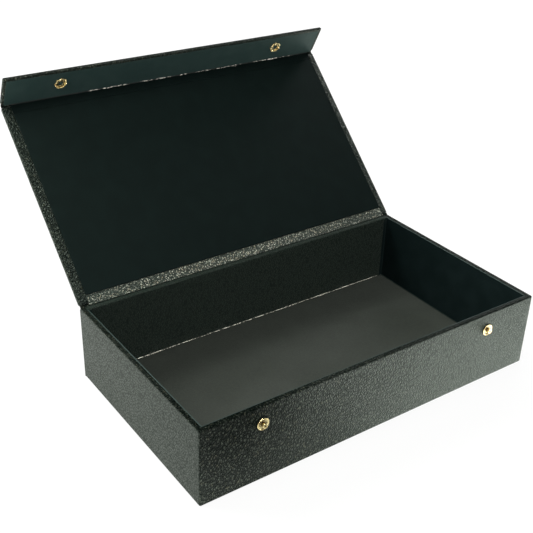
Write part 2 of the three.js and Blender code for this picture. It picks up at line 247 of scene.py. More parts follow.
def glint_share(finish, pebble, domes, fades, brightest_glint_x):
    """How much of each pebble's top carries a painted glint, a pale painted highlight."""
    tops = finish.ramp(domes, 0.1, 0.4, 1, 0)
    share = finish.product(tops, finish.ramp(finish.noise(pebble * 1.5, 2.0), 0.38, 0.6, 0.5, 1))
    if brightest_glint_x is not None:
        away = finish.math("ABSOLUTE", finish.math("SUBTRACT", finish.along("X"), brightest_glint_x))
        share = finish.product(share, finish.ramp(away, 0.05, 0.14, 1, 0.6))
    if fades:
        along_front = finish.ramp(finish.along("X"), LEFT_X, 0.1, 1, 0.2)
        from_corner = finish.ramp(finish.distance(DULL_CORNER), *DULL_REACH, 0.6, 1)
        share = finish.product(share, along_front, finish.by_end(1, 0.1), from_corner)
    return share


def leatherette(name, pebble, relief, roughness, gloss, dark, light, painted_glint=None, brightest_glint_x=None,
                fades=False, rim_gloss_and_shade=1.0):
    """Pebbled leatherette: rounded cells parted by creases, drawn out along one diagonal. Its creases are
    painted darker and its tops lighter, as painted shade and painted highlight.
    A painted glint is a paler tone on some of the pebble tops, a painted highlight which stands in for their
    small glints. Most tops carry it near the x given for the brightest glints.
    A skin that fades has flatter grain and fewer painted glints on its ends and towards the right, and is
    duller round the front's upper left corner.
    The rim share is the share of the gloss left on faces that look up, which are dark in the picture; the
    lower it is, the darker their colour is painted, as painted shade."""
    dome_height = 0.8
    fine_height = 0.15
    crease_roughness = roughness + 0.25
    end_roughness = 0.12
    finish = Finish(name)
    creases, domes = pebble_pattern(finish, pebble)
    fine = finish.noise(0.4 * MM, 4.0)
    height = finish.math("SUBTRACT", creases, finish.product(domes, dome_height))
    height = finish.math("ADD", height, finish.product(fine, fine_height))
    height = finish.product(height, grain_depth(finish, fades))
    # Painted shade and painted highlight: creases take the dark colour and pebble tops the light one.
    tone = finish.mix(creases, dark, light)
    # Painted highlights: some pebble tops take the pale glint colour, warm in places.
    if painted_glint:
        warm_glints = finish.ramp(finish.noise(pebble * 2, 1.0), 0.5, 0.62, 0, 0.35)
        glint_colour = finish.mix(warm_glints, painted_glint, (painted_glint[0], painted_glint[1] * 0.62, painted_glint[2] * 0.3, 1))
        tone = finish.mix(glint_share(finish, pebble, domes, fades, brightest_glint_x), tone, glint_colour)
    worn_spots = finish.ramp(finish.noise(3 * MM), 0.5, 0.7)
    wear = finish.product(finish.edge(), worn_spots, 0.35)
    colour = finish.mix(wear, tone, (0.045, 0.052, 0.045, 1))
    # Painted shade: faces that look up are painted darker, the more so the less of the rim's gloss they keep.
    colour = finish.mix(finish.by_top(0, 0.7 * (1 - rim_gloss_and_shade)), colour, dark)
    rough = finish.ramp(creases, 0, 1, crease_roughness, roughness)
    rough = finish.math("ADD", rough, finish.ramp(fine, 0.3, 0.7, 0, 0.08))
    level = finish.by_top(gloss, gloss * rim_gloss_and_shade)
    if fades:
        rough = finish.math("ADD", rough, finish.by_end(0, end_roughness))
        from_corner = finish.ramp(finish.distance(DULL_CORNER), *DULL_REACH, 0.25, 1.05)
        level = finish.product(level, finish.math("MAXIMUM", from_corner, finish.sideways()))
    return finish.done(Base_Color=colour, Roughness=rough, Normal=finish.bump(height, relief),
                       Specular_IOR_Level=level, Specular_Tint=(0.82, 1, 0.87, 1))


def smooth_lining(name, dark, light, rough, gloss=0.2, edge_lightening=0.5):
    """Smooth lining paper: a faint mottle, fine fibres and shallow ripples from the glue."""
    finish = Finish(name)
    mottle = finish.noise(14 * MM, 5.0)
    fibres = finish.noise(0.5 * MM, 3.0, finish.stretched((0, 0, 0), (0.35, 1, 1)))
    ripples = finish.noise(24 * MM, 1.0)
    colour = finish.mix(finish.ramp(mottle, 0.35, 0.7), dark, light)
    # The colour is lighter along sharp edges.
    colour = finish.mix(finish.product(finish.edge(), edge_lightening), colour, (0.035, 0.052, 0.048, 1))
    haze = finish.math("ADD", finish.ramp(fibres, 0.3, 0.7, -0.05, 0.06), rough)
    normal = finish.bump(ripples, 0.5 * MM, 0.35)
    normal = finish.bump(fibres, 0.06 * MM, 0.7, normal)
    return finish.done(Base_Color=colour, Roughness=haze, Normal=normal, Specular_IOR_Level=gloss,
                       Specular_Tint=(0.7, 1, 0.96, 1))


def pad_cloth():
    """Matte brushed cloth: crossed threads under a short nap.
    Its edges are painted dark, as painted shade.
    """
    thread = 0.42 * MM
    finish = Finish("pad_cloth")
    across = finish.noise(thread, 2.0, finish.stretched((0, 0, 0), (0.2, 1, 1)))
    down = finish.noise(thread, 2.0, finish.stretched((0, 0, 0), (1, 0.2, 1)))
    weave = finish.product(finish.math("ADD", across, down), 0.5)
    mottle = finish.ramp(finish.noise(17 * MM, 4.0), 0.35, 0.68)
    nap = finish.ramp(finish.noise(70 * MM, 1.0), 0.35, 0.65)
    colour = finish.mix(mottle, (0.0122, 0.015, 0.0118, 1), (0.0152, 0.0184, 0.0147, 1))
    colour = finish.mix(finish.ramp(weave, 0.42, 0.62, 0, 0.5), colour, (0.028, 0.0326, 0.0268, 1))
    # Painted shade: the cloth is painted darker along its edges.
    colour = finish.mix(finish.product(finish.edge(), 0.85), colour, (0.006, 0.0072, 0.006, 1))
    rough = finish.ramp(nap, 0, 1, 0.8, 0.92)
    normal = finish.bump(weave, 0.16 * MM, 0.9)
    shine = finish.ramp(finish.edge(), 0, 0.6, 0.25, 0)
    sheen = finish.ramp(finish.edge(), 0, 0.6, 0.12, 0)
    return finish.done(Base_Color=colour, Roughness=rough, Normal=normal, Specular_IOR_Level=shine,
                       Sheen_Weight=sheen, Sheen_Roughness=0.5)


def glinting_crease():
    """The fold's inner edge: dark, with short pale dashes that are painted glints, painted highlights.
    The dashes stop short of both ends of the fold."""
    first_x = -99 * MM
    last_x = 146 * MM
    finish = Finish("glinting_crease")
    along = finish.stretched((0, 0, 0), (1, 3, 3))
    glint_dashes = finish.ramp(finish.noise(3.0 * MM, 1.0, along), 0.47, 0.55)
    gaps = finish.ramp(finish.noise(16 * MM, 2.0, along), 0.44, 0.56, 0.0, 1)
    x = finish.along("X")
    start = finish.ramp(x, first_x, first_x + 15 * MM)
    end = finish.ramp(x, last_x - 18 * MM, last_x, 1, 0)
    shown = finish.product(glint_dashes, gaps, start, end)
    # Painted highlights: the shown dashes are painted near white.
    colour = finish.mix(shown, (0.002, 0.004, 0.0035, 1), (1.0, 0.92, 0.84, 1))
    return finish.done(Base_Color=colour, Roughness=0.55, Normal=finish.bump(glint_dashes, 0.15 * MM, 0.8))


def pad_welt():
    """The pad's turned back edge: cloth pulled into small beads, painted bright, partly as the pad's pale
    raw edge and partly as painted highlight.
    """
    finish = Finish("pad_welt")
    edge_and_highlight_beads = finish.ramp(finish.noise(1.6 * MM, 1.0), 0.42, 0.54)
    patches = finish.ramp(finish.noise(24 * MM, 2.0), 0.3, 0.55, 0.4, 1)
    # Painted bright beads: partly the pad's pale raw edge, partly painted highlight.
    colour = finish.mix(finish.product(edge_and_highlight_beads, patches), (0.07, 0.07, 0.062, 1), (1.0, 0.95, 0.84, 1))
    return finish.done(Base_Color=colour, Roughness=0.6, Normal=finish.bump(edge_and_highlight_beads, 0.2 * MM, 0.8))


def brass(name, haze, hollow, dark_below, clear_above):
    """Stamped brass: bright and dented, with fine turning marks. Narrow hollows are painted dark, partly as
    tarnish and partly as painted shade. Hollow is how narrow a place has to be to darken, from fully dark
    below one openness to clear above the other."""
    finish = Finish(name)
    tarnish = finish.ramp(finish.noise(0.9 * MM, 3.0), 0.45, 0.68)
    dents = finish.noise(1.3 * MM, 1.0)
    scratches = finish.noise(0.12 * MM, 3.0, finish.stretched((0.2, 0, 0.4), (1, 1, 0.15)))
    colour = finish.mix(tarnish, (1.0, 0.86, 0.5, 1), (0.78, 0.48, 0.16, 1))
    # Painted shade and tarnish: narrow hollows are darkened to near black.
    clear = finish.ramp(finish.openness(hollow), dark_below, clear_above)
    colour = finish.mix(clear, (0.03, 0.015, 0.005, 1), colour)
    rough = finish.ramp(tarnish, 0, 1, haze, haze + 0.16)
    rough = finish.math("ADD", rough, finish.ramp(scratches, 0.4, 0.7, 0, 0.08))
    normal = finish.bump(dents, 0.55 * MM, 0.9)
    normal = finish.bump(scratches, 0.01 * MM, 0.5, normal)
    return finish.done(Base_Color=colour, Metallic=1.0, Roughness=rough, Normal=normal)


def board(name, pale, deep):
    """Greyboard or paper: pressed fibres and dark flecks."""
    finish = Finish(name)
    fibres = finish.noise(0.9 * MM, 5.0, finish.stretched((0.2, 0.1, 0.6), (0.3, 1, 1)))
    flecks = finish.ramp(finish.cells(3.2 * MM, "F1"), 0.05, 0.14)
    colour = finish.mix(finish.ramp(fibres, 0.35, 0.65), deep, pale)
    colour = finish.mix(flecks, tuple(0.45 * part for part in deep[:3]) + (1,), colour)
    return finish.done(Base_Color=colour, Roughness=0.93, Normal=finish.bump(fibres, 0.12 * MM, 0.8))


DEEP_TEAL = (0.0005, 0.0018, 0.0013, 1)
TEAL = (0.0035, 0.0066, 0.005, 1)
# Glint colours are painted highlights on pebble tops.
TRAY_GLINT = (0.14, 0.16, 0.13, 1)
# Painted light: the inner leatherette is painted much lighter than the tray's outer skin, against the shade
# inside the tray.
LIT_INNER_DEEP = (0.0075, 0.0125, 0.01, 1)
LIT_INNER_TEAL = (0.031, 0.0395, 0.033, 1)
LID_DEEP = (0.0012, 0.003, 0.0024, 1)
LID_TEAL = (0.003, 0.006, 0.0046, 1)
LID_GLINT = (0.06, 0.07, 0.054, 1)
# Painted highlight: the hinge band's leatherette is painted lighter than the lid's, for its sparkle.
LIT_BAND_TEAL = (0.025, 0.031, 0.024, 1)
BAND_GLINT = (1.0, 1.0, 0.86, 1)
band_pebble = 1.4 * MM
fine_pebble = 1.8 * MM
wide_pebble = 2.2 * MM
grained = leatherette("grained_leatherette", fine_pebble, relief=0.4 * MM, roughness=0.22, gloss=0.27,
                      dark=DEEP_TEAL, light=TEAL, painted_glint=TRAY_GLINT, fades=True, rim_gloss_and_shade=0.2)
lid_grained = leatherette("lid_leatherette", wide_pebble, relief=0.6 * MM, roughness=0.2, gloss=0.28,
                          dark=LID_DEEP, light=LID_TEAL, painted_glint=LID_GLINT)
sparkling = leatherette("sparkling_leatherette", band_pebble, relief=0.6 * MM, roughness=0.16, gloss=0.6,
                        dark=LID_DEEP, light=LIT_BAND_TEAL, painted_glint=BAND_GLINT, brightest_glint_x=-0.02)
inner_grained = leatherette("inner_leatherette", fine_pebble, relief=0.34 * MM, roughness=0.3, gloss=0.4,
                            dark=LIT_INNER_DEEP, light=LIT_INNER_TEAL, rim_gloss_and_shade=0.2)
lid_paper = smooth_lining("lid_lining", dark=(0.0006, 0.0024, 0.0022, 1), light=(0.0014, 0.004, 0.0037, 1),
                          rough=0.6, gloss=0.16, edge_lightening=0.0)
wall_paper = smooth_lining("wall_lining", dark=(0.002, 0.0052, 0.006, 1), light=(0.0042, 0.0085, 0.0096, 1),
                           rough=0.58)
# Painted light: the flap's lining is the lid's lining painted many times lighter.
lit_flap_paper = smooth_lining("flap_lining", dark=(0.019, 0.035, 0.0335, 1), light=(0.0245, 0.0415, 0.0395, 1),
                           rough=0.5)
cloth = pad_cloth()
metal = brass("brass", haze=0.15, hollow=1.3 * MM, dark_below=0.15, clear_above=0.55)
stud_metal = brass("stud_brass", haze=0.14, hollow=3 * MM, dark_below=0.5, clear_above=0.93)
crease_finish = glinting_crease()
welt_finish = pad_welt()
greyboard = board("greyboard", pale=(0.3, 0.285, 0.25, 1), deep=(0.2, 0.19, 0.165, 1))
tape_paper = board("tape_paper", pale=(0.52, 0.46, 0.36, 1), deep=(0.4, 0.35, 0.27, 1))

# ---- Mesh tools ----


def mark_edges(mesh):
    """Stores how sharply each vertex turns, so that materials can mark the edges: with wear, with a lighter
    colour, and on the pad with painted shade.
    """
    full_turn = math.radians(14)
    work = bmesh.new()
    work.from_mesh(mesh)
    turns = []
    for vertex in work.verts:
        turns.append(max((edge.calc_face_angle(0.0) for edge in vertex.link_edges), default=0.0))
    work.free()
    attribute = mesh.attributes.new("edge", "FLOAT", "POINT")
    attribute.data.foreach_set("value", [min(1.0, turn / full_turn) for turn in turns])


def tidy_mesh(mesh):
    """Joins points that meet, drops edges without length and turns every face outwards."""
    same_place = 0.0005 * MM
    work = bmesh.new()
    work.from_mesh(mesh)
    bmesh.ops.remove_doubles(work, verts=work.verts, dist=same_place)
    bmesh.ops.dissolve_degenerate(work, edges=work.edges, dist=same_place)
    bmesh.ops.recalc_face_normals(work, faces=work.faces)
    for face in work.faces:
        face.smooth = True
    work.to_mesh(mesh)
    work.free()


def dress(obj, material):
    """Last steps on a finished mesh: shading, edge marks and material."""
    sharp = math.radians(40)
    obj.data.set_sharp_from_angle(angle=sharp)
    mark_edges(obj.data)
    obj.data.materials.clear()
    obj.data.materials.append(material)


def finish_piece(obj, material, body, stands_for=None):
    """Dresses a piece and fixes it to its body, in place of a CAD node if it stands for one."""
    dress(obj, material)
    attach(obj, body)
    if stands_for:
        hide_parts(stands_for)


def new_object(name, points, faces):
    mesh = bpy.data.meshes.new(name)
    mesh.from_pydata([tuple(point) for point in points], [], faces)
    tidy_mesh(mesh)
    obj = bpy.data.objects.new(name, mesh)
    bpy.context.scene.collection.objects.link(obj)
    return obj


def wobble(point, amount=WOBBLE):
    """A small smooth shift, the same at the same point."""
    spot = Vector(point) / WOBBLE_SPAN
    return amount * noise.noise(spot), amount * noise.noise(spot + Vector((7.3, 2.1, 4.9)))


def arc(centre, radius, start, stop, steps=5):
    """Points on a circle from start to stop degrees, both included."""
    angles = [math.radians(start + (stop - start) * k / steps) for k in range(steps + 1)]
    return [(centre[0] + radius * math.cos(a), centre[1] + radius * math.sin(a)) for a in angles]


def spaced(start, stop, cell=CELL):
    """Evenly spaced values between start and stop, without them."""
    count = max(1, round(abs(stop - start) / cell))
    return [start + (stop - start) * k / count for k in range(1, count)]


def graded(start, stop, cell=CELL, margin=0.8 * MM):
    """Like spaced, with one more value close to each end, which keeps edge wear narrow."""
    step = math.copysign(margin, stop - start)
    if abs(stop - start) < margin * 4:
        return spaced(start, stop, cell)
    return [start + step] + spaced(start + step, stop - step, cell) + [stop - step]


CORNER_STEPS = 6


def side_point(a, b, cut_start, cut_end, radius, share, d):
    """A point at a share of the way from a to b, a distance d to the left. A cut end stops short of its
    round corner."""
    ahead = (b - a).normalized()
    left = Vector((-ahead.y, ahead.x))
    kept = max(radius, d)
    first = kept if cut_start else 0
    last = (b - a).length - (kept if cut_end else 0)
    return a + ahead * (first + (last - first) * share) + left * d


def corner_point(corner, ahead, radius, turn, d):
    """A point part of the way round a left-hand corner, a distance d inside the path."""
    left = Vector((-ahead.y, ahead.x))
    spread = (left * -math.cos(turn) + ahead * math.sin(turn)) * max(radius - d, 0)
    return corner + (left - ahead) * max(radius, d) + spread


def path_stations(corners, closed, radius, cell=CELL):
    """Stations along a path with round corners. Each gives the point a distance d to the path's left."""
    stations = []
    corners = [Vector(corner) for corner in corners]
    ends = corners[1:] + corners[:1] if closed else corners[1:]
    for index, (a, b) in enumerate(zip(corners, ends)):
        cut_start = closed or index > 0
        cut_end = closed or index < len(ends) - 1
        count = max(1, round((b - a).length / cell))
        for k in range(count + 1):
            stations.append(partial(side_point, a, b, cut_start, cut_end, radius, k / count))
        if cut_end:
            ahead = (b - a).normalized()
            for k in range(1, CORNER_STEPS):
                turn = math.pi / 2 * k / CORNER_STEPS
                stations.append(partial(corner_point, b, ahead, radius, turn))
    return stations


def skin_faces(ring_count, ring_length, closed_path, closed_ring):
    """Four-sided faces between neighbouring rings of points."""
    faces = []
    for a in range(ring_count if closed_path else ring_count - 1):
        b = (a + 1) % ring_count
        for i in range(ring_length if closed_ring else ring_length - 1):
            j = (i + 1) % ring_length
            faces.append((a * ring_length + i, a * ring_length + j, b * ring_length + j, b * ring_length + i))
    return faces


def end_faces(ring, ring_length):
    """Closes the end of a folded sheet whose ring is its outer points, then its inner ones backwards."""
    first = ring * ring_length
    last = first + ring_length - 1
    return [(first + i, first + i + 1, last - i - 1, last - i) for i in range(ring_length // 2 - 1)]


def folded_sheet(name, outer, inner, rings_at, place=in_tray):
    """A sheet with a folded cross-section. For a point (a, b) of the section, rings_at(a, b) lists the
    points along the sheet."""
    section = outer + inner[::-1]
    columns = [rings_at(a, b) for a, b in section]
    ring_count = len(columns[0])
    points = [place(columns[i][ring]) for ring in range(ring_count) for i in range(len(section))]
    faces = skin_faces(ring_count, len(section), False, True)
    faces += end_faces(0, len(section)) + end_faces(ring_count - 1, len(section))
    return new_object(name, points, faces)


def slab(name, low, high, place=in_tray, plan_radius=0.8 * MM, edge_radius=0.3 * MM, amount=WOBBLE):
    """A board-like solid with round corners and edges, and slightly uneven faces."""
    half = min(high.x - low.x, high.y - low.y) / 2
    edge = min(edge_radius, (high.z - low.z) * 0.49)
    face = [half] + graded(half, edge) + [edge]
    bottom = [(d, low.z) for d in face[:-1]] + arc((edge, low.z + edge), edge, 270, 180)
    top = arc((edge, high.z - edge), edge, 180, 90) + [(d, high.z) for d in face[:-1][::-1]]
    corners = [(low.x, low.y), (high.x, low.y), (high.x, high.y), (low.x, high.y)]
    stations = path_stations(corners, True, max(plan_radius, edge))
    points = []
    for station in stations:
        for d, level in bottom + top:
            spot = station(d)
            shift, _ = wobble((spot.x, spot.y, 0.0), amount)
            points.append(place((spot.x, spot.y, level + shift)))
    return new_object(name, points, skin_faces(len(stations), len(bottom + top), True, False))


def carve(obj, low, high, place=in_tray):
    """Cuts a box-shaped hollow out of obj."""
    corners = [(x, y, z) for x in (low[0], high[0]) for y in (low[1], high[1]) for z in (low[2], high[2])]
    faces = [(0, 1, 3, 2), (4, 6, 7, 5), (0, 4, 5, 1), (2, 3, 7, 6), (0, 2, 6, 4), (1, 5, 7, 3)]
    cutter = new_object("cutter", [place(corner) for corner in corners], faces)
    modifier = obj.modifiers.new("carve", "BOOLEAN")
    modifier.operation = "DIFFERENCE"
    modifier.solver = "EXACT"
    modifier.object = cutter
    graph = bpy.context.evaluated_depsgraph_get()
    carved = bpy.data.meshes.new_from_object(obj.evaluated_get(graph))
    obj.modifiers.clear()
    obj.data = carved
    bpy.data.objects.remove(cutter)
    for polygon in obj.data.polygons:
        polygon.use_smooth = True


CORD_SIDES = 8


def cord(name, xs, centre, thickness, swelling, swell_span, seed):
    """A round cord along x about centre, a (y, z), with uneven swellings."""
    points = []
    full_turn = 360 * (CORD_SIDES - 1) / CORD_SIDES
    for x in xs:
        swell = 1 + swelling * noise.noise(Vector((x / swell_span, seed, 0.5)))
        circle = arc(centre, thickness * swell, 0, full_turn, CORD_SIDES - 1)
        points += [(x, y, z) for y, z in circle]
    last = (len(xs) - 1) * CORD_SIDES
    faces = skin_faces(len(xs), CORD_SIDES, False, True)
    faces += [tuple(range(CORD_SIDES)), tuple(range(last, last + CORD_SIDES))]
    return new_object(name, points, faces)


def turned(name, profile, place, crimp=0.0, steps=64):
    """A turned solid. The profile lists (radius, height) and place maps (across, height, up) to the frame.
    A crimp waves the outer ring's face, in and out as well as up and down."""
    crimps = 8
    sideways = 0.6
    ring_start = 0.6 * max(r for r, h in profile)
    ring_face = 0.5 * min(h for r, h in profile)
    points = []
    for k in range(steps):
        angle = 2 * math.pi * k / steps
        for r, h in profile:
            on_ring = r > ring_start and h < ring_face
            wave = crimp * math.cos(crimps * angle) if on_ring else 0.0
            reach = r + wave * sideways
            points.append(place((reach * math.cos(angle), h + wave, reach * math.sin(angle))))
    return new_object(name, points, skin_faces(steps, len(profile), True, profile[0] == profile[-1]))


# ---- Tray ----

wrap_low, wrap_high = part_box("side_wrap")
front_lining_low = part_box("front_lining")[0]
rim_width = front_lining_low.y - wrap_low.y
turn_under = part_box("base_cover")[0].x - wrap_low.x - GLUE


def wrap_section():
    """Inward distance and height, from the turned-under edge, up the wall and over the rim."""
    foot_radius = 1.3 * MM
    rim_outer_radius = 1.1 * MM
    rim_inner_radius = 0.6 * MM
    top = wrap_high.z
    outer = [(turn_under, 0)]
    outer += arc((foot_radius, foot_radius), foot_radius, 270, 180)
    outer += [(0, z) for z in graded(foot_radius, top - rim_outer_radius)]
    outer += arc((rim_outer_radius, top - rim_outer_radius), rim_outer_radius, 180, 90)
    outer += arc((rim_width - rim_inner_radius, top - rim_inner_radius), rim_inner_radius, 90, 0)
    inner = [(min(max(d, SKIN), rim_width), min(max(z, SKIN), top - SKIN)) for d, z in outer]
    return outer, inner


def make_wrap():
    """Leatherette round the front and both ends. Its unevenness fades out near the table."""
    fade_height = 20 * MM
    corner_radius = 1.5 * MM
    back = wrap_high.y
    corners = [(wrap_low.x, back), (wrap_low.x, wrap_low.y), (wrap_high.x, wrap_low.y), (wrap_high.x, back)]
    stations = path_stations(corners, False, corner_radius)

    def rings_at(d, z):
        points = []
        for station in stations:
            spot = station(d)
            side_shift, top_shift = wobble((spot.x, spot.y, z))
            pull = min(1.0, z / fade_height)
            moved = station(d + abs(side_shift) * pull)
            points.append((moved.x, moved.y, z - abs(top_shift) * pull))
        return points

    outer, inner = wrap_section()
    wrap = folded_sheet("tray_wrap", outer, inner, rings_at)
    finish_piece(wrap, grained, "tray", "side_wrap")


def along_x(low, high):
    """Rings along x for a section given as (y, z)."""
    xs = [low] + spaced(low, high) + [high]
    return lambda y, z: [(x, y, z) for x in xs]


def make_back_cover():
    """Leatherette on the back wall, and its lower edge turned under the bottom."""
    low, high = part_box("back_cover")
    bend = 0.9 * MM
    foot_x = wrap_high.x - turn_under - GLUE
    outer = [(high.y - bend, 0)] + arc((high.y - bend, bend), bend, 270, 360)
    outer += [(high.y, z) for z in spaced(bend, high.z)] + [(high.y, high.z)]
    wall_inner = high.y - SKIN
    inner = [(min(y, wall_inner), z) for y, z in outer]
    wall = folded_sheet("back_leatherette", outer, inner, along_x(low.x, high.x))
    finish_piece(wall, grained, "tray", "back_cover")
    foot_high = Vector((foot_x, wall_inner - GLUE, SKIN))
    turned_edge = slab("back_turn_under", Vector((-foot_x, low.y, 0)), foot_high)
    finish_piece(turned_edge, grained, "tray")


def make_base_sheet():
    low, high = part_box("base_cover")
    sheet = slab("base_leatherette", low, high, amount=0)
    finish_piece(sheet, grained, "tray", "base_cover")


def make_front_wall_lining():
    def upright(point):
        """Swaps y and z, so that a flat slab stands against the wall."""
        return Vector((point[0], point[2], point[1]))

    low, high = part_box("front_lining")
    lining = slab("front_wall_lining", upright(low), upright(high), upright)
    finish_piece(lining, wall_paper, "tray", "front_lining")


lining_tab = 3.6 * MM                     # width of the end lining turned onto the back wall
tab_thickness = 0.4 * MM
tab_top_gap = 1.4 * MM                    # how far the turned part stops below the rim


def make_end_lining(side):
    """Lining of an end wall, with its back edge turned round the corner under the back lining."""
    low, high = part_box(f"{side}_lining")
    back_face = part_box("back_lining")[0].y + SKIN
    sign = 1 if side == "right" else -1
    hidden_x = max(abs(low.x), abs(high.x)) * sign
    shown_x = hidden_x - SKIN * sign
    tab_x = shown_x - lining_tab * sign
    ys = [low.y] + graded(low.y, back_face - tab_thickness) + [back_face - tab_thickness]
    tab_xs = graded(shown_x, tab_x) + [tab_x]
    outer = [(hidden_x, y) for y in ys[:-1]] + [(hidden_x, back_face)] + [(x, back_face) for x in tab_xs]
    inner = [(shown_x, y) for y in ys] + [(x, back_face - tab_thickness) for x in tab_xs]
    zs = [low.z] + graded(low.z, high.z) + [high.z]

    def rings_at(x, y):
        shown = x == shown_x and y < back_face - tab_thickness
        return [(x + (wobble((x, y, z))[0] if shown else 0), y, min(z, tab_top(x, y))) for z in zs]

    def tab_top(x, y):
        on_tab = abs(x) < abs(shown_x) - 0.1 * MM
        return high.z - tab_top_gap if on_tab else high.z

    lining = folded_sheet(f"{side}_wall_lining", outer, inner, rings_at)
    finish_piece(lining, wall_paper, "tray", f"{side}_lining")


BEYOND = 1 * MM                           # how far a cut reaches past the piece that it opens


def make_back_lining():
    """Grained lining, bent over the back wall's top, with a rebate at each end for the end lining's tab."""
    rebate_gap = 0.5 * MM
    low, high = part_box("back_lining")
    bend = 1.0 * MM
    outer = [(low.y, low.z)] + [(low.y, z) for z in graded(low.z, high.z - bend)]
    outer += arc((low.y + bend, high.z - bend), bend, 180, 90) + [(high.y, high.z)]
    inner = [(min(max(y, low.y + SKIN), high.y), min(z, high.z - SKIN)) for y, z in outer]
    lining = folded_sheet("back_wall_lining", outer, inner, along_x(low.x, high.x))
    tab_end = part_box("right_lining")[0].x - lining_tab - GLUE
    for side in (-1, 1):
        ends = sorted((side * tab_end, side * (high.x + BEYOND)))
        carve(lining, (ends[0], low.y - BEYOND, low.z - BEYOND),
              (ends[1], low.y + SKIN + rebate_gap, high.z - tab_top_gap))
    finish_piece(lining, inner_grained, "tray", "back_lining")


def make_floor_pad():
    """Cloth over the pad's board, open underneath."""
    low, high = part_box("floor_pad_cloth")
    board_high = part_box("floor_pad_board")[1]
    cloth_edge = 0.4 * MM
    pad = slab("floor_pad", low, high, plan_radius=3 * MM, edge_radius=0.5 * MM, amount=0.12 * MM)
    hollow_low = Vector((low.x + cloth_edge, low.y + cloth_edge, low.z - BEYOND))
    hollow_high = Vector((high.x - cloth_edge, high.y - cloth_edge, board_high.z))
    carve(pad, hollow_low, hollow_high)
    finish_piece(pad, cloth, "tray", "floor_pad_cloth")
    make_pad_welt(low, high)
    make_floor_turns(low, high)


def make_floor_turns(low, high):
    """The wall linings' lower edges, turned onto the base board around the pad."""
    gap = 0.05 * MM
    thickness = 0.3 * MM
    wall_low = Vector((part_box("left_lining")[1].x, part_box("front_lining")[1].y, low.z))
    wall_high = Vector((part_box("right_lining")[0].x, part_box("back_lining")[0].y, low.z + thickness))
    sides = {
        "left": ((wall_low.x + gap, wall_low.y + gap), (low.x - gap, wall_high.y - gap)),
        "right": ((high.x + gap, wall_low.y + gap), (wall_high.x - gap, wall_high.y - gap)),
        "front": ((low.x, wall_low.y + gap), (high.x, low.y - gap)),
        "back": ((low.x, high.y + gap), (high.x, wall_high.y - gap)),
    }
    for side, (start, stop) in sides.items():
        strip = slab(f"floor_turn_{side}", Vector((*start, wall_low.z)), Vector((*stop, wall_high.z)),
                     plan_radius=0.2 * MM, edge_radius=0.08 * MM, amount=0)
        finish_piece(strip, wall_paper, "tray")


def make_pad_welt(low, high):
    """The pulled cloth along the pad's back edge, as one beaded cord."""
    thickness = 0.4 * MM
    end_gap = 6 * MM
    start, stop = low.x + end_gap, high.x - end_gap
    xs = [start] + spaced(start, stop, 0.7 * MM) + [stop]
    centre = (high.y + thickness * 0.5, high.z - thickness * 0.2)
    welt = cord("pad_welt", xs, centre, thickness, swelling=0.35, swell_span=2.2 * MM, seed=0.5)
    finish_piece(welt, welt_finish, "tray")


# ---- Lid and flap ----


def make_panel_cover(panel, body, node, name, material, opening_low, opening_high):
    """Leatherette over a board: a rounded shell, open on the inside where the linings go."""
    low, high = panel.extent(node)
    shell = slab(name, low, high, panel.place, plan_radius=1.3 * MM, edge_radius=1.0 * MM)
    inset = Vector((PANEL_SKIN,) * 3)
    carve(shell, low + inset, high - inset, panel.place)
    carve(shell, opening_low, opening_high, panel.place)
    finish_piece(shell, material, body, node)


def make_sheet(panel, body, node, name, material):
    """A thin lining sheet in place of a CAD node."""
    low, high = panel.extent(node)
    sheet = slab(name, low, high, panel.place, plan_radius=0.5 * MM, edge_radius=0.22 * MM, amount=0.04 * MM)
    finish_piece(sheet, material, body, node)


def make_lid():
    gap = 0.2 * MM
    band_low, band_high = lid.extent("lid_hinge_band")
    cover_low, cover_high = lid.extent("lid_cover")
    opening_low = (band_low.x - gap, cover_low.y - BEYOND, cover_low.z - BEYOND)
    opening_high = (band_high.x + gap, cover_high.y + BEYOND, band_high.z + GLUE)
    make_panel_cover(lid, "lid", "lid_cover", "lid_leatherette", lid_grained, opening_low, opening_high)
    make_sheet(lid, "lid", "lid_liner", "lid_lining_sheet", lid_paper)
    make_sheet(lid, "lid", "lid_hinge_band", "hinge_band", sparkling)
    make_sheet(lid, "lid", "lid_fold_band", "fold_band", lid_paper)


def make_flap():
    gap = 0.2 * MM
    liner_low, liner_high = flap.extent("flap_liner")
    cover_low = flap.extent("flap_cover")[0]
    opening_low = (liner_low.x - gap, cover_low.y - BEYOND, cover_low.z - BEYOND)
    opening_high = (liner_high.x + gap, liner_high.y + gap, liner_high.z + GLUE)
    make_panel_cover(flap, "flap", "flap_cover", "flap_leatherette", grained, opening_low, opening_high)
    make_sheet(flap, "flap", "flap_liner", "flap_lining_sheet", lit_flap_paper)


# ---- Strips over the hinge and the fold ----


def bezier(points, steps=14):
    """A cubic curve through four control points."""
    a, b, c, d = (Vector(point) for point in points)
    curve = []
    for k in range(steps + 1):
        t = k / steps
        s = 1 - t
        curve.append(a * s**3 + b * 3 * s * s * t + c * 3 * s * t * t + d * t**3)
    return curve


def thickened(curve, thickness):
    """The curve and a copy of it offset to its left, as (outer, inner) lists."""
    inner = []
    for index, point in enumerate(curve):
        ahead = curve[min(index + 1, len(curve) - 1)] - curve[max(index - 1, 0)]
        left = Vector((-ahead.y, ahead.x)).normalized()
        inner.append(point + left * thickness)
    return [tuple(point) for point in curve], [tuple(point) for point in inner]


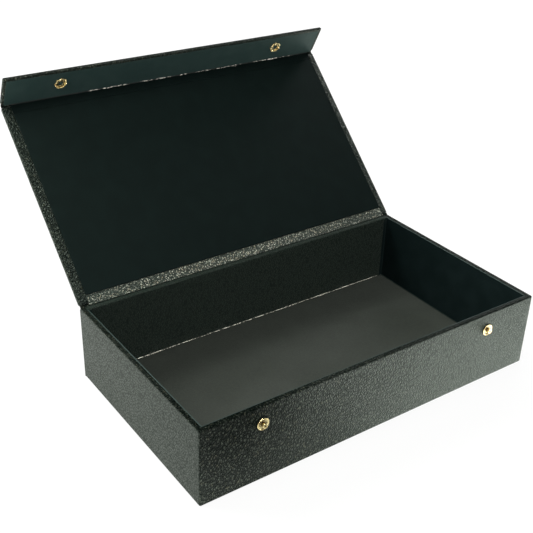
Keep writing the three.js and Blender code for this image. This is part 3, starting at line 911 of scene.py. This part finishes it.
def make_hinge_strip():
    """The leatherette that bends between the back wall and the lid."""
    low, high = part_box("hinge_strip")
    wall_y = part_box("back_cover")[1].y
    lid_end = lid.place((0, lid.extent("hinge_strip")[1].y, PANEL_SKIN * 2 + GLUE))
    pull = 1.0 * MM
    start = (wall_y, low.z)
    tangent = Vector((lid.along.y, lid.along.z)) * pull
    stop = Vector((lid_end.y, lid_end.z))
    curve = bezier([start, (wall_y, low.z + pull), stop - tangent, stop])
    outer, inner = thickened(curve, PANEL_SKIN)
    strip = folded_sheet("hinge_leatherette", outer, inner, along_x(low.x, high.x))
    dress(strip, grained)
    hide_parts("hinge_strip")
    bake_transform(strip)


fold_reach = 1.5 * MM                     # how far the fold's bend reaches to each side


def make_fold_strip():
    """The leatherette that bends between the lid and the flap."""
    low, high = lid.extent("fold_strip")
    outer_n = PANEL_SKIN * 2 + GLUE
    inner_n = PANEL_SKIN + GLUE
    steps = 12
    turns = [fold_turn * k / steps for k in range(steps + 1)]

    def around(n):
        """The section's points (u, n): along the lid, round the fold, along the flap."""
        rim = [(fold_u - fold_reach, n)]
        rim += [(fold_u + n * math.sin(turn), n * math.cos(turn)) for turn in turns]
        tip = (math.cos(fold_turn), -math.sin(fold_turn))
        return rim + [(rim[-1][0] + fold_reach * tip[0], rim[-1][1] + fold_reach * tip[1])]

    xs = [low.x] + spaced(low.x, high.x) + [high.x]
    strip = folded_sheet("fold_leatherette", around(outer_n), around(inner_n),
                         lambda u, n: [(x, u, n) for x in xs], lid.place)
    dress(strip, grained)
    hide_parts("fold_strip")
    blend_over_fold(strip)


def blend_over_fold(piece):
    start = lid.place((0, fold_u - fold_reach, 0))
    end = flap.place((0, fold_reach, 0))
    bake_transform(piece)


def make_fold_crease():
    """The raised inner edge of the fold, puckered by use."""
    thickness = 0.5 * MM
    low, high = lid.extent("lid_fold_band")
    xs = [low.x] + spaced(low.x, high.x, 0.8 * MM) + [high.x]
    halfway = (lid_turn + (lid_turn - fold_turn)) / 2
    inward = Vector((0, -math.sin(halfway), -math.cos(halfway)))
    middle = flap.pivot + inward * thickness * 0.1
    centre = (middle.y, middle.z)
    crease = cord("fold_crease", xs, centre, thickness, swelling=0.3, swell_span=3.2 * MM, seed=1.5)
    dress(crease, crease_finish)
    blend_over_fold(crease)


# ---- Press studs ----


def on_front(x, z, y):
    """Places a stud: height runs out of the tray's front face."""
    return lambda point: Vector((x + point[0], y - point[1], z + point[2]))


def on_flap(x, u):
    """Places a socket part: height runs out of the flap's outer face."""
    return lambda point: flap.place((x + point[0], u + point[2], point[1]))


def stud_profile(radius, height):
    """Rolled rim, a deep trough, and a post with a rounded, dimpled head."""
    bead = 0.55 * MM
    neck = 1.75 * MM
    head = 2.3 * MM
    trough = 3.6 * MM
    floor = 0.12 * MM
    head_round = 0.4 * MM
    dimple = 1.05 * MM
    profile = [(0, -0.1 * MM), (radius - bead, -0.1 * MM)]
    profile += arc((radius - bead, bead * 0.9), bead, -90, 150, 11)
    profile += [(trough, floor + 0.1 * MM), (trough - 0.3 * MM, floor), (neck + 0.5 * MM, floor)]
    profile += [(neck + 0.12 * MM, floor + 0.25 * MM), (neck, height * 0.4), (neck, height - 1.15 * MM)]
    profile += arc((head - head_round, height - head_round), head_round, -40, 90, 8)
    profile += [(dimple, height - 0.06 * MM), (dimple * 0.8, height - 0.3 * MM)]
    profile += [(dimple * 0.6, height - 0.9 * MM), (0, height - 1.0 * MM)]
    return profile


def socket_profile(radius, cup):
    """A cup that grips the stud's head, inside a rolled ring that stands off the lining."""
    bead = 0.6 * MM
    crest = 1.2 * MM
    floor = 1.5 * MM
    back = 1.9 * MM
    wall = 0.5 * MM
    profile = [(0, floor), (cup, floor), (cup, -0.2 * MM), (cup + 0.1 * MM, -0.55 * MM)]
    profile += [(cup + 0.5 * MM, -0.6 * MM), (radius - bead * 2.1, -0.5 * MM)]
    profile += arc((radius - bead, -crest + bead), bead, -160, 80, 12)
    profile += [(radius - 0.35 * MM, -0.03 * MM), (cup + wall, -0.03 * MM), (cup + wall, back), (0, back)]
    return profile


def cap_profile(radius, low, face):
    """A post through the flap under a low domed cap."""
    dome = 1.35 * MM
    lip = 0.35 * MM
    post = 1.15 * MM
    profile = [(0, low), (post, low), (post, face), (radius - lip, face)]
    profile += arc((radius - lip, face + lip), lip, -90, 60, 6)
    count = 10
    for k in range(1, count + 1):
        share = 1 - k / count
        reach = (radius - lip * 0.5) * share
        profile.append((reach, face + lip + (dome - lip) * (1 - share**2.2)))
    return profile


def make_stud(side):
    low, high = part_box(f"stud_{side}")
    centre = (low + high) / 2
    face_y = wrap_low.y
    profile = stud_profile((high.x - low.x) / 2, face_y - low.y)
    stud = turned(f"press_stud_{side}", profile, on_front(centre.x, centre.z, face_y))
    finish_piece(stud, stud_metal, "tray", f"stud_{side}")


def make_socket(side, x, u):
    low, high = flap.extent(f"socket_{side}")
    profile = socket_profile((high.x - low.x) / 2, 2.45 * MM)
    socket = turned(f"press_socket_{side}", profile, on_flap(x, u), crimp=0.55 * MM)
    finish_piece(socket, metal, "flap", f"socket_{side}")


def make_spring(side, x, u):
    """A ring of round wire."""
    low, high = flap.extent(f"socket_spring_{side}")
    wire = (high.z - low.z) / 2
    middle = (high.x - low.x) / 2 - wire
    circle = arc((middle, (low.z + high.z) / 2), wire, 0, 360, 12)
    circle[-1] = circle[0]
    spring = turned(f"ring_spring_{side}", circle, on_flap(x, u))
    finish_piece(spring, metal, "flap", f"socket_spring_{side}")


def make_cap(side, x, u):
    low, high = flap.extent(f"socket_cap_{side}")
    face = flap.extent("flap_cover")[1].z + 0.05 * MM
    profile = cap_profile((high.x - low.x) / 2, 2.0 * MM, face)
    cap = turned(f"press_cap_{side}", profile, on_flap(x, u))
    finish_piece(cap, metal, "flap", f"socket_cap_{side}")


def make_snaps():
    for side in ("left", "right"):
        make_stud(side)
        low, high = flap.extent(f"socket_{side}")
        x, u = (low.x + high.x) / 2, (low.y + high.y) / 2
        for make_part in (make_socket, make_spring, make_cap):
            make_part(side, x, u)


# ---- CAD pieces that stay ----


def finish_kept_nodes():
    """Materials for the boards, tapes and rivets, known by a word in their names."""
    finishes = {"board": greyboard, "tape": tape_paper, "rivet": metal}
    for name, obj in frame["nodes"].items():
        for word, material in finishes.items():
            if word in name:
                obj.data.materials.clear()
                obj.data.materials.append(material)


# ---- Stage ----

FLOOR_GLOW = 0.75
GLOWING_PATCH = (0.13, -0.17, 0)           # a patch of painted light that glows on the floor at the front right
SHADOW_SPOT = (-0.06, -0.3, 0)              # a painted shadow on the floor ahead of the left stud


def floor_glow(finish):
    """How bright the floor glows in reflections, with a patch of painted light at the front right."""
    near_patch = finish.ramp(finish.distance(GLOWING_PATCH), 0.04, 0.32, 2.65, 0)
    to_right = finish.ramp(finish.along("X"), -0.14, 0.04)
    return finish.math("ADD", finish.product(near_patch, to_right), FLOOR_GLOW)


def pale_floor():
    """White to the camera with a faint shadow. In the box's own reflections it glows with its own
    brightness, with a painted shadow at the dark spot and a glowing patch of painted light."""
    finish = Finish("pale_floor")
    shadow_share = 0.07
    lit = finish.ramp(finish.distance(SHADOW_SPOT), 0.1, 0.22, 0.02, 1)
    # Painted shadow: the floor's colour is darker round the dark spot.
    tone = finish.mix(lit, (0, 0, 0, 1), (0.5, 0.5, 0.5, 1))
    shade = add_node(finish.tree, "ShaderNodeBsdfDiffuse", {"Color": tone}).outputs[0]
    inputs = {"Color": (0.95, 1, 0.92, 1), "Strength": finish.product(lit, floor_glow(finish))}
    glow = add_node(finish.tree, "ShaderNodeEmission", inputs).outputs[0]
    bounced = add_node(finish.tree, "ShaderNodeAddShader", {0: shade, 1: glow}).outputs[0]
    faint = (shadow_share, shadow_share, shadow_share, 1)
    soft = add_node(finish.tree, "ShaderNodeBsdfDiffuse", {"Color": faint}).outputs[0]
    inputs = {"Color": (1, 1, 1, 1), "Strength": 1 - shadow_share}
    white = add_node(finish.tree, "ShaderNodeEmission", inputs).outputs[0]
    seen = add_node(finish.tree, "ShaderNodeAddShader", {0: soft, 1: white}).outputs[0]
    to_camera = add_node(finish.tree, "ShaderNodeLightPath").outputs["Is Camera Ray"]
    picked = add_node(finish.tree, "ShaderNodeMixShader", {0: to_camera, 1: bounced, 2: seen}).outputs[0]
    output = add_node(finish.tree, "ShaderNodeOutputMaterial")
    finish.tree.links.new(picked, output.inputs[0])
    return finish.material


def make_floor():
    mesh = bpy.data.meshes.new("floor")
    reach = 6.0
    level = -0.02 * MM
    corners = [(-reach, -reach, level), (reach, -reach, level), (reach, reach, level), (-reach, reach, level)]
    mesh.from_pydata(corners, [], [(0, 1, 2, 3)])
    floor = bpy.data.objects.new("floor", mesh)
    bpy.context.scene.collection.objects.link(floor)
    mesh.materials.append(pale_floor())


def make_light(name, place, target, size, power, tint=(1, 1, 1)):
    data = bpy.data.lights.new(name, "AREA")
    data.shape = "RECTANGLE"
    data.size, data.size_y = size
    data.energy = power
    data.color = tint
    lamp = bpy.data.objects.new(name, data)
    lamp.location = place
    lamp.rotation_mode = "QUATERNION"
    lamp.rotation_quaternion = (Vector(target) - Vector(place)).to_track_quat("-Z", "Y")
    lamp.visible_camera = False
    bpy.context.scene.collection.objects.link(lamp)


def make_world():
    """White to the camera, dim to the object."""
    white = 0.95
    dim = 0.07
    world = bpy.data.worlds.new("studio")
    world.use_nodes = True
    tree = world.node_tree
    background = tree.nodes["Background"]
    to_camera = add_node(tree, "ShaderNodeLightPath").outputs["Is Camera Ray"]
    level = add_node(tree, "ShaderNodeMapRange", {"Value": to_camera, "To Min": dim, "To Max": white})
    background.inputs["Color"].default_value = (1, 1, 1, 1)
    tree.links.new(level.outputs["Result"], background.inputs["Strength"])
    bpy.context.scene.world = world


def make_lights():
    """Soft light from behind left, which skims the lid, with weaker lights behind, above, behind right and
    in front."""
    middle = (0, 0.05, 0.08)
    pale_green = (0.95, 1, 0.91)
    make_light("back_left", (-0.9, 1.2, 1.2), middle, size=(1.3, 1.0), power=60, tint=pale_green)
    make_light("back_middle", (0.1, 1.25, 1.3), middle, size=(0.6, 0.6), power=11)
    make_light("top", (-0.35, -0.1, 1.6), middle, size=(0.9, 0.9), power=16, tint=pale_green)
    make_light("back_right", (1.3, 0.85, 0.95), middle, size=(0.8, 0.8), power=13)
    make_light("front", (-0.1, -1.4, 0.8), middle, size=(0.22, 0.22), power=9)


def make_camera():
    """The picture's view: how far round, up and tilted, and the point on the box it looks at."""
    azimuth = math.radians(35.74)
    elevation = math.radians(29.19)
    roll = math.radians(1.82)
    distance = 0.8221
    target = Vector((-0.00665, 0.0584, 0.0779))
    ahead = Vector((
        math.sin(azimuth) * math.cos(elevation),
        math.cos(azimuth) * math.cos(elevation),
        -math.sin(elevation),
    ))
    data = bpy.data.cameras.new("camera")
    data.lens = 62.43
    data.sensor_width = 36
    data.clip_start = 0.01
    camera = bpy.data.objects.new("camera", data)
    camera.location = target - ahead * distance
    camera.rotation_mode = "QUATERNION"
    level = ahead.to_track_quat("-Z", "Y")
    camera.rotation_quaternion = level @ Matrix.Rotation(roll, 3, "Z").to_quaternion()
    bpy.context.scene.collection.objects.link(camera)
    bpy.context.scene.camera = camera


make_wrap()
make_back_cover()
make_base_sheet()
make_front_wall_lining()
for end in ("left", "right"):
    make_end_lining(end)
make_back_lining()
make_floor_pad()
make_lid()
make_flap()
make_hinge_strip()
make_fold_strip()
make_fold_crease()
make_snaps()
finish_kept_nodes()
make_floor()
make_world()
make_lights()
make_camera()
bpy.context.scene.view_settings.view_transform = "Standard"
